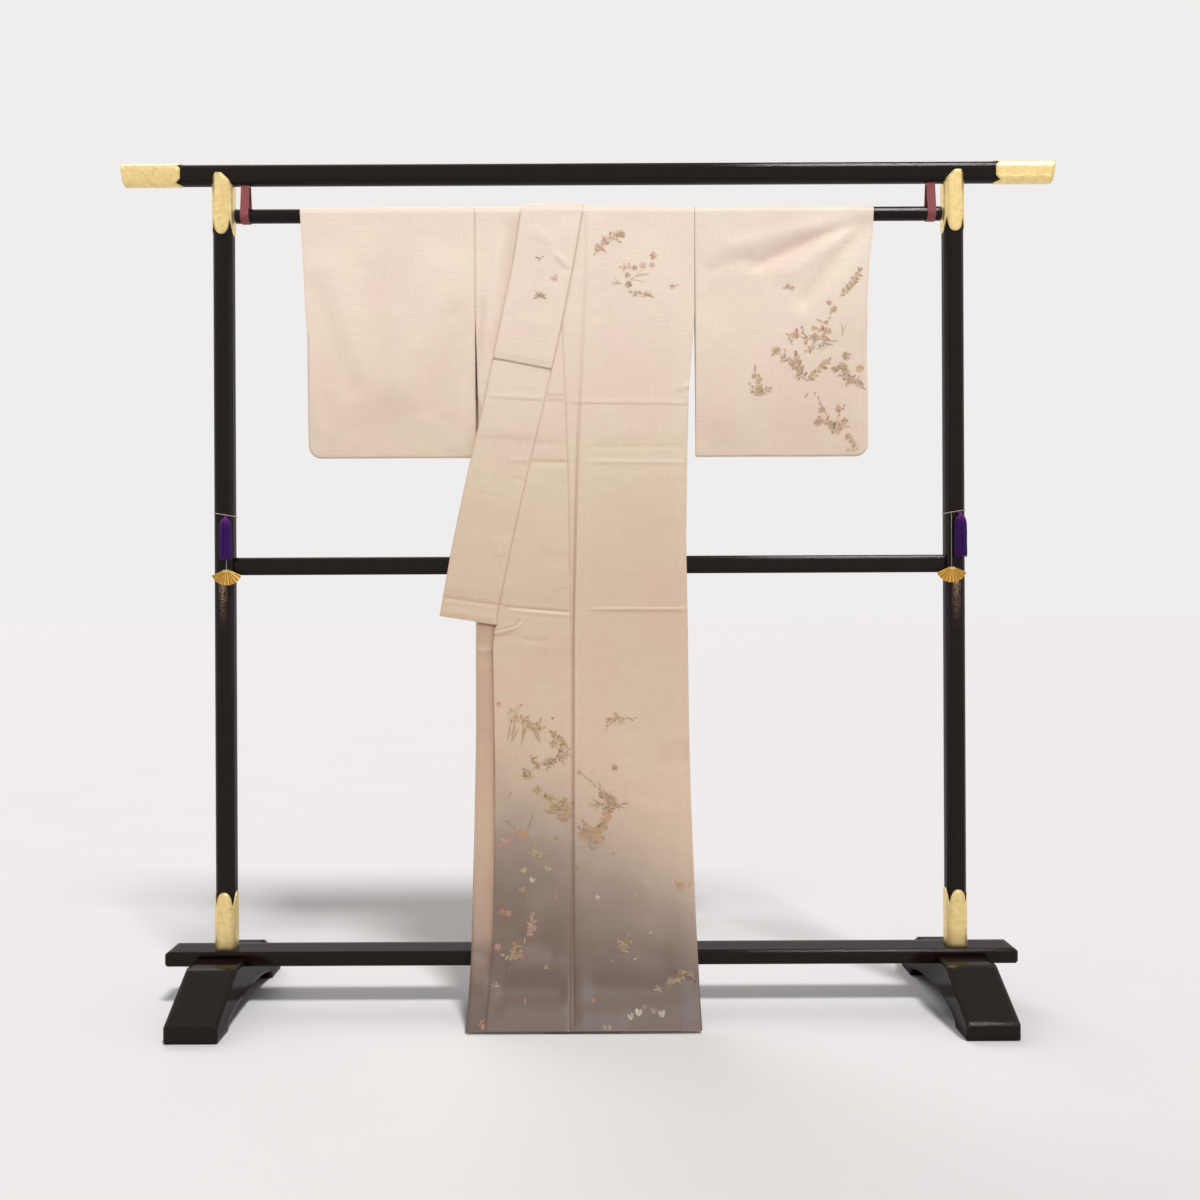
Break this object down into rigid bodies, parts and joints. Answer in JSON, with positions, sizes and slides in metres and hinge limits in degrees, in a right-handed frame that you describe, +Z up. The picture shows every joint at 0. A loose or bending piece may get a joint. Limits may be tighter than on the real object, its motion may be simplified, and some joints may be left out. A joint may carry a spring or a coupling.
{
  "type": "silk kimono on a lacquered kimono stand",
  "caption": "Silk visiting kimono with open collar and hem-shaded ground, hung flat by its shoulders on a free-standing lacquered kimono stand.",
  "frame": {"origin": "on the floor, under the middle of the stand", "axes": "+Z up, +X along the stand to the right as one faces the front of the garment, the front faces -Y"},
  "size_m": [1.8168, 0.45, 1.6345],
  "materials": {
    "silk": "soft sheen, beige pink shaded to grey brown at the hem",
    "lacquer": "black gloss lacquer on wood",
    "gold": "gilt, finely engraved",
    "band": "woven cotton tape, dark red",
    "tassel": "silk floss, purple",
    "cord": "thin twisted cord"
  },
  "bodies": {
    "root": {"left_body": "silk", "right_body": "silk", "left_okumi": "silk", "right_okumi": "silk", "left_collar": "silk", "right_collar": "silk", "over_collar": "silk", "left_sleeve": "silk", "right_sleeve": "silk", "left_post": "lacquer", "right_post": "lacquer", "top_bar": "lacquer", "hanging_rod": "lacquer", "mid_bar": "lacquer", "bottom_plank": "lacquer", "left_foot": "lacquer", "right_foot": "lacquer", "left_bar_cap": "gold", "right_bar_cap": "gold", "left_post_top_sleeve": "gold", "right_post_top_sleeve": "gold", "left_post_foot_sleeve": "gold", "right_post_foot_sleeve": "gold", "left_rod_band": "band", "right_rod_band": "band", "left_post_tie": "cord", "right_post_tie": "cord", "left_tassel": "tassel", "right_tassel": "tassel", "left_fan": "gold", "right_fan": "gold", "left_fan_string": "cord", "right_fan_string": "cord"}
  },
  "joints": []
}
